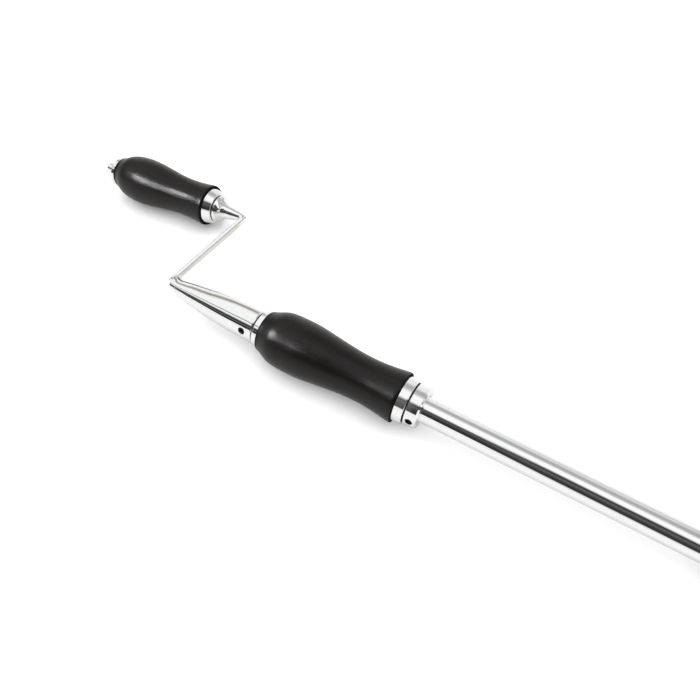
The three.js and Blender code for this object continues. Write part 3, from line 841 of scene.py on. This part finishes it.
turned("crank_handle_inner_bushing", [(-39.7, 4.4, 0.3), (-27.7, 4.4, 0.3), (-27.7, 7.1, 0.3), (-39.7, 7.1, 0.3)],
       M_HANDLE, "crank_handle", bronze, "crank_handle_inner_bush", 96)
turned("crank_handle_spindle", [
    (-140.6, 0), (-140.6, 2.5, 0.5), (-131.8, 2.5), (-131.8, 4.0, 0.3), (-17.6, 4.0, 0.5), (-17.6, 0),
], M_HANDLE, "crank_shaft", steel_h, "handle_spindle", 64, closed=False)
turned("crank_handle_washer", [(-25.9, 4.4, 0.05), (-25.5, 4.4, 0.05), (-25.5, 11.2, 0.08), (-25.9, 11.2, 0.08)],
       M_HANDLE, "crank_shaft", fibre, "handle_thrust_washer", 96)
turned("crank_handle_end_cap", [
    (-132.1, 4.4, 0.1), (-127.7, 4.4, 0.1), (-127.7, 12.3, 0.35), (-130.7, 12.3, 1.2), (-132.1, 10.3, 0.9),
], M_HANDLE, "crank_shaft", chrome_handle, "handle_end_cap", 128, n=6)
v, f, _, nut_outline = lathe(fillet([
    (-143.6, 0), (-143.6, 2.0, 1.2), (-141.5, 4.5, 1.4), (-134.6, 4.5, 0.2), (-134.5, 5.7, 0.25), (-132.4, 5.7, 0.3),
    (-132.4, 2.86, 0.1), (-141.0, 2.86), (-141.0, 0),
], False, 6), 96, False)
slot_cut = (np.array([(x, y, z) for x in (-146, -142.6) for y in (-7, 7) for z in (-0.55, 0.55)]),
            [(0, 1, 3, 2), (4, 6, 7, 5), (0, 4, 5, 1), (2, 3, 7, 6), (0, 2, 6, 4), (1, 5, 7, 3)])
v, f = arrays(boolean((v, f), [(slot_cut[0], oriented(*slot_cut))]))
piece("crank_handle_end_nut", v, f, M_HANDLE, "crank_shaft", chrome_handle, ["handle_end_nut"],
      exact_normals(v, f, nut_outline))

# ---------------------------------------------------------------------- chuck
TIP = 345.0


def at(back):
    return TIP - back


turned("chuck_arbor_stud", [
    (251, 0), (251, 7.55, 0.7), (281.3, 7.55), (281.3, 11, 0.4), (284.6, 11, 0.6), (284.6, 6.3), (302.2, 6.3, 0.7), (302.2, 0),
], M_CRANK, "crank_shaft", steel, "chuck_arbor", 96, closed=False)
v, f, nn, _ = lathe(fillet([(-9.35, 0), (-9.35, 1.75, 0.6), (9.35, 1.75, 0.6), (9.35, 0)], False), 40, False)
piece("arbor_pin", aim(v, (268, 0, 0), (0, 0, 1)), f, M_CRANK, "crank_shaft", black, ["arbor_cross_pin"],
      aim(nn, (0, 0, 0), (0, 0, 1)))

JA = math.radians(15)


def jaw_rod(k, r, a, b, segs=48):
    """A rod on jaw k's inclined axis, from a to b behind the tip."""
    th = k * 2 * math.pi / 3
    v, f, _, _ = lathe([(-b, 0), (-b, r), (-a, r), (-a, 0)], segs, False)
    c, s = math.cos(-JA), math.sin(-JA)
    w = np.stack([v[:, 0] * c - v[:, 1] * s + TIP, v[:, 0] * s + v[:, 1] * c + 1.6, v[:, 2]], 1)
    ct, st = math.cos(th), math.sin(th)
    return np.stack([w[:, 0], w[:, 1] * ct - w[:, 2] * st, w[:, 1] * st + w[:, 2] * ct], 1), f


v, f, _, body_outline = lathe(fillet([
    (at(60), 0), (at(60), 14.5, 0.6), (at(30.5), 14.5, 0.3), (at(30.5), 11, 0.2), (at(21.5), 11, 0.2), (at(21.5), 14.5, 0.3),
    (at(7), 14.5, 0.8), (at(1.5), 10.4, 0.5), (at(1.5), 0),
], False), 128, False)
cuts = [cylinder((0, 0, 0), (1, 0, 0), at(26), at(-5), 5.3, 64), cylinder((0, 0, 0), (1, 0, 0), at(70), at(42), 6.66, 64)]
cuts += [jaw_rod(k, 4.35, -8, 48.6 / math.cos(JA)) for k in range(3)]
v, f = arrays(boolean((v, f), cuts))
piece("chuck_inner_body", v, f, M_CRANK, "crank_shaft", steel, ["chuck_body"],
      exact_normals(v, f, body_outline, [((0, 0, 0), (1, 0, 0), 5.3)]))


def ribbed(name, pts, place, body, node, ribs, depth, x0, x1, fade, per=10, n=4):
    """A turned ring whose outside is cut with rounded flutes between x0 and x1."""
    pts = fillet(pts, True, n)
    dense = []
    for i, p in enumerate(pts):
        q = pts[(i + 1) % len(pts)]
        dense.append(p)
        gap = abs(q[0] - p[0])
        if gap > 1.0 and p[1] > 17 and q[1] > 19:
            m = int(gap / 0.5)
            dense += [(p[0] + (q[0] - p[0]) * t / m, p[1] + (q[1] - p[1]) * t / m) for t in range(1, m)]
    segs = ribs * per
    v, f, _, _ = lathe(dense, segs, True)
    r = np.hypot(v[:, 1], v[:, 2])
    a = np.arctan2(v[:, 2], v[:, 1])
    e = np.clip(np.minimum(v[:, 0] - x0, x1 - v[:, 0]) / fade, 0, 1)
    e = np.sqrt(np.maximum(1 - (1 - e) ** 2, 0))
    flute = np.clip(0.5 - 0.5 * np.cos(a * ribs), 0, 1) ** 0.8
    cut = depth * e * flute * (r > 19.2)
    s = (r - cut) / r
    v[:, 1] *= s
    v[:, 2] *= s
    return piece(name, v, f, place, body, chrome_crank, [node], sharp=40)


ribbed("chuck_back_ring", [
    (at(58), 14.85, 0.2), (at(48.6), 14.85, 0.1), (at(48.6), 18.4, 0.1), (at(44.6), 18.4, 0.2), (at(44.6), 20.4, 0.2),
    (at(45.6), 21.4, 0.4), (at(55), 21.4, 0.8), (at(58), 18.4, 0.8),
], M_CRANK, "crank_shaft", "chuck_rear_ring", 48, 0.55, at(54.6), at(46.4), 1.2)
ribbed("chuck_turning_sleeve", [
    (at(44.2), 18.4, 0.2), (at(20.5), 18.4, 0.1), (at(20.5), 14.85, 0.1), (at(8.5), 14.85, 0.2), (at(8.5), 16.2, 0.3),
    (at(9.4), 17, 0.5), (at(17), 20, 1.5), (at(18.2), 20.7, 0.8), (at(43.2), 20.7, 0.4), (at(44.2), 19.7, 0.3),
], M_CRANK, "chuck_sleeve", "chuck_sleeve", 30, 0.95, at(40.6), at(20.6), 3.2, 12)

ring = lathe(fillet([(at(30), 14.3, 0.2), (at(22), 12.15, 0.2), (at(22), 18.05, 0.3), (at(30), 18.05, 0.3)], True), 96, True)
for k, sgn in ((1, 1), (2, -1)):
    bx = np.array([(x, y, z) for x in (at(36), at(16)) for y in (-30, 30) for z in (0.15, 30)]) * (1, 1, sgn)
    c, s = math.cos(math.pi / 4), math.sin(math.pi / 4)
    bx = np.stack([bx[:, 0], bx[:, 1] * c - bx[:, 2] * s, bx[:, 1] * s + bx[:, 2] * c], 1)
    bf = oriented(bx, slot_cut[1])
    v, f = arrays(boolean((ring[0], ring[1]), [(bx, bf)], "INTERSECT"))
    piece(f"chuck_nut_half_{k}", v, f, M_CRANK, "chuck_sleeve", black, [f"chuck_jaw_nut_half_{k}"],
          exact_normals(v, f, ring[3]))

for k in range(3):
    th = k * 2 * math.pi / 3
    w = np.array([(x, y, z) for x in (at(60), TIP) for y, z in ((0.6, -0.43), (30, -51.35), (30, 51.35), (0.6, 0.43))])
    ct, st = math.cos(th), math.sin(th)
    w = np.stack([w[:, 0], w[:, 1] * ct - w[:, 2] * st, w[:, 1] * st + w[:, 2] * ct], 1)
    wf = oriented(w, [(0, 1, 2, 3), (7, 6, 5, 4), (0, 4, 5, 1), (1, 5, 6, 2), (2, 6, 7, 3), (3, 7, 4, 0)])
    rv, rf = jaw_rod(k, 4.0, -6, 34)
    v, f = arrays(boolean((rv, rf), [(w, wf)], "INTERSECT"))
    o = piece(f"chuck_gripping_jaw_{k + 1}", v, f, M_CRANK, f"jaw_{k + 1}", hard, [f"chuck_jaw_{k + 1}"], sharp=30)

# ------------------------------------------------------------------- the stage
floor = scratch("studio_floor", [(-6, -6, 0), (6, -6, 0), (6, 6, 0), (-6, 6, 0)], [(0, 1, 2, 3)])
fm, nt, b = nodes_of("pale_floor")
tc = nt.nodes.new("ShaderNodeTexCoord")
fl = noise(nt, tc.outputs["Object"], 40.0, 3, 0.5)
lp = nt.nodes.new("ShaderNodeLightPath")
near = ramp(nt, fl, [(0.3, (0.925, 0.925, 0.928)), (0.7, (0.938, 0.938, 0.940))])
# painted shade: glossy rays see a darker copy of the floor, so the chrome reflects it grey while the floor itself stays
# white
floor_painted_shade_in_reflections = ramp(nt, fl, [(0.3, (0.613, 0.611, 0.605)), (0.7, (0.625, 0.623, 0.617))])
nt.links.new(mix(nt, lp.outputs["Is Glossy Ray"], near, floor_painted_shade_in_reflections), b.inputs["Base Color"])
b.inputs["Emission Color"].default_value = (1, 1, 1, 1)
nt.links.new(mathn(nt, "MULTIPLY", lp.outputs["Is Camera Ray"], 0.02), b.inputs["Emission Strength"])
b.inputs["Roughness"].default_value = 0.9
b.inputs["Specular IOR Level"].default_value = 0.05
floor.data.materials.append(fm)

world = bpy.data.worlds.new("studio")
scene.world = world
world.use_nodes = True
nt = world.node_tree
nt.nodes.clear()
out = nt.nodes.new("ShaderNodeOutputWorld")
tc = nt.nodes.new("ShaderNodeTexCoord")
sep = nt.nodes.new("ShaderNodeSeparateXYZ")
nt.links.new(tc.outputs["Generated"], sep.inputs[0])
ny = mathn(nt, "MULTIPLY", sep.outputs["Y"], -1)
theta = mathn(nt, "ARCTAN2", sep.outputs["Z"], ny)
t01 = mathn(nt, "DIVIDE", theta, math.pi)  # 0 in front at the horizon, 0.5 overhead, 1 behind
tube_room = ramp(nt, t01, [
    (0.0, 0.95), (13 / 180, 0.95), (15.5 / 180, 0.018), (26 / 180, 0.026), (36 / 180, 0.045), (46 / 180, 0.085),
    (51 / 180, 0.10), (54.5 / 180, 0.05), (58 / 180, 0.06), (61 / 180, 0.24), (65 / 180, 0.62), (71 / 180, 1.05),
    (102 / 180, 1.05), (112 / 180, 0.60), (126 / 180, 0.40), (138 / 180, 0.50), (149 / 180, 0.88), (1.0, 0.92),
])
front_room = ramp(nt, t01, [
    (0.0, 0.93), (7 / 180, 0.93), (11 / 180, 0.24), (16 / 180, 0.035), (27 / 180, 0.035), (40 / 180, 0.085), (50 / 180, 0.12),
    (56 / 180, 0.07), (62 / 180, 0.025), (66 / 180, 0.06), (70 / 180, 0.32), (75 / 180, 0.80), (82 / 180, 1.05),
    (102 / 180, 1.05), (112 / 180, 0.60), (126 / 180, 0.40), (138 / 180, 0.50), (149 / 180, 0.78), (162 / 180, 0.70), (1.0, 0.85),
])
hub_room = ramp(nt, t01, [
    (0.0, 0.95), (13 / 180, 0.95), (15.5 / 180, 0.010), (25 / 180, 0.015), (29 / 180, (0.19, 0.20, 0.24)), (33 / 180, 0.05),
    (42 / 180, 0.02), (47 / 180, 0.55), (50 / 180, 0.95), (57 / 180, 0.95), (60 / 180, 0.25), (63 / 180, 0.25),
    (66 / 180, 0.98), (1.0, 1.0),
])



def step(x, a, b):
    n = nt.nodes.new("ShaderNodeMapRange")
    n.interpolation_type = "SMOOTHSTEP"
    n.inputs["From Min"].default_value, n.inputs["From Max"].default_value = a, b
    nt.links.new(x, n.inputs["Value"])
    return n.outputs[0]


rx = sep.outputs["X"]
# the room seen far to the crank's side is white, with one dim strip that only the hub's taper sees
left = mathn(nt, "SUBTRACT", 1.0, step(rx, -0.42, -0.30))
line_on = mathn(nt, "SUBTRACT", 1.0, step(rx, -0.46, -0.36))
drift = mathn(nt, "MULTIPLY", mathn(nt, "MULTIPLY_ADD", rx, 1 / 0.20, 0.72 / 0.20, clamp=True), 30 / 180)
line_room = ramp(nt, mathn(nt, "SUBTRACT", t01, drift), [
    (0.0, (1, 1, 1)), (99 / 180, (1, 1, 1)), (111 / 180, (0.72, 0.70, 0.67)), (118 / 180, (0.30, 0.27, 0.24)),
    (126 / 180, (0.34, 0.31, 0.28)), (134 / 180, (0.68, 0.66, 0.63)), (147 / 180, (1, 1, 1)), (1.0, (1, 1, 1)),
])
room_line = nt.nodes.new("ShaderNodeMix")
room_line.data_type, room_line.blend_type = "RGBA", "MULTIPLY"
nt.links.new(line_on, room_line.inputs[0])
# towards the chuck the room's dark side widens; beside the grip's ferrule it is paler
pale = mix(nt, 0.10, tube_room, (0.72, 0.70, 0.67))
near_room = mix(nt, step(rx, -0.168, -0.158), pale, tube_room)
near_room = mix(nt, step(rx, -0.09, 0.07), near_room, front_room)
nt.links.new(mix(nt, left, near_room, hub_room), room_line.inputs[6])
nt.links.new(line_room, room_line.inputs[7])
# dark doorway low at the far left, and a louvred wall low at the right
door = mathn(nt, "MULTIPLY", mathn(nt, "SUBTRACT", 1.0, step(rx, -0.86, -0.76)), mathn(nt, "SUBTRACT", 1.0, step(sep.outputs["Z"], 0.40, 0.52)))
room = mix(nt, door, room_line.outputs[2], (0.30, 0.30, 0.30))
slats = ramp(nt, mathn(nt, "FRACT", mathn(nt, "MULTIPLY", rx, 5.0)), [(0.0, 0.38), (0.35, 0.40), (0.5, 0.72), (0.85, 0.70), (1.0, 0.38)])
wall = mathn(nt, "MULTIPLY", step(rx, 0.22, 0.32), mathn(nt, "SUBTRACT", 1.0, step(rx, 0.90, 0.97)))
wall = mathn(nt, "MULTIPLY", wall, step(t01, 100 / 180, 116 / 180))
room = mix(nt, wall, room, slats)
bg_room = nt.nodes.new("ShaderNodeBackground")
nt.links.new(room, bg_room.inputs["Color"])
bg_room.inputs["Strength"].default_value = 1.0
bg_soft = nt.nodes.new("ShaderNodeBackground")
height = mathn(nt, "MULTIPLY", sep.outputs["Z"], sep.outputs["Z"])
nt.links.new(ramp(nt, height, [(0.0, 0.34), (1.0, 1.22)]), bg_soft.inputs["Color"])  # brighter overhead
bg_soft.inputs["Strength"].default_value = 2.02
bg_cam = nt.nodes.new("ShaderNodeBackground")
bg_cam.inputs["Color"].default_value = (1.0, 1.0, 1.0, 1)
lp = nt.nodes.new("ShaderNodeLightPath")
m1 = nt.nodes.new("ShaderNodeMixShader")
m2 = nt.nodes.new("ShaderNodeMixShader")
nt.links.new(lp.outputs["Is Glossy Ray"], m1.inputs[0])
nt.links.new(bg_soft.outputs[0], m1.inputs[1])
nt.links.new(bg_room.outputs[0], m1.inputs[2])
nt.links.new(lp.outputs["Is Camera Ray"], m2.inputs[0])
nt.links.new(m1.outputs[0], m2.inputs[1])
nt.links.new(bg_cam.outputs[0], m2.inputs[2])
nt.links.new(m2.outputs[0], out.inputs[0])


def area(name, loc, target, w, h, radiance, diffuse=True, glossy=True, only=()):
    L = bpy.data.lights.new(name, "AREA")
    L.shape, L.size, L.size_y = "RECTANGLE", w, h
    L.energy = radiance * w * h * math.pi  # watts for this radiance
    o = bpy.data.objects.new(name, L)
    scene.collection.objects.link(o)
    o.location = loc
    o.rotation_euler = (Vector(target) - Vector(loc)).to_track_quat("-Z", "Y").to_euler()
    o.visible_diffuse = diffuse
    o.visible_glossy = glossy
    o.visible_camera = False
    if only:
        lit = bpy.data.collections.new(name + "_receivers")
        for x in only:
            lit.objects.link(x)
        o.light_linking.receiver_collection = lit
    return o


def off(x, y, z):
    return (ORG.x + x, ORG.y + y, ORG.z + z)


area("soft_key", off(0.08, 0.79, 1.03), off(0.03, 0.04, -0.02), 0.9, 0.7, 1.28, True, False)
grip_o = bpy.data.objects["center_grip_body"]
hand_o = bpy.data.objects["crank_handle_grip"]
area("handle_strip", off(-0.430, -0.232, 0.345), off(-0.21, 0.07, 0.01), 0.22, 0.085, 52.0, False, True, [hand_o])
area("grip_lamp", off(-0.402, -0.196, 0.312), off(-0.044, -0.010, 0.018), 0.14, 0.11, 62.0, False, True, [grip_o])
area("grip_fill", off(-0.177, -0.284, 0.370), off(0.043, -0.010, 0.015), 0.035, 0.11, 20.0, False, True, [grip_o])

cam = bpy.data.cameras.new("photo_view")
cam.lens, cam.sensor_width, cam.clip_start, cam.clip_end = 33.43, 36.0, 0.01, 50
co = bpy.data.objects.new("photo_view", cam)
scene.collection.objects.link(co)
m = Matrix.Identity(4)
for i, vec in enumerate(((0.8631, 0.5050, 0.0), (-0.4187, 0.7155, 0.5592), (0.2824, -0.4826, 0.8290))):
    for k in range(3):
        m[k][i] = vec[k]
for k, x in enumerate(off(0.1375, -0.2118, 0.3923)):
    m[k][3] = x
co.matrix_world = m
scene.camera = co
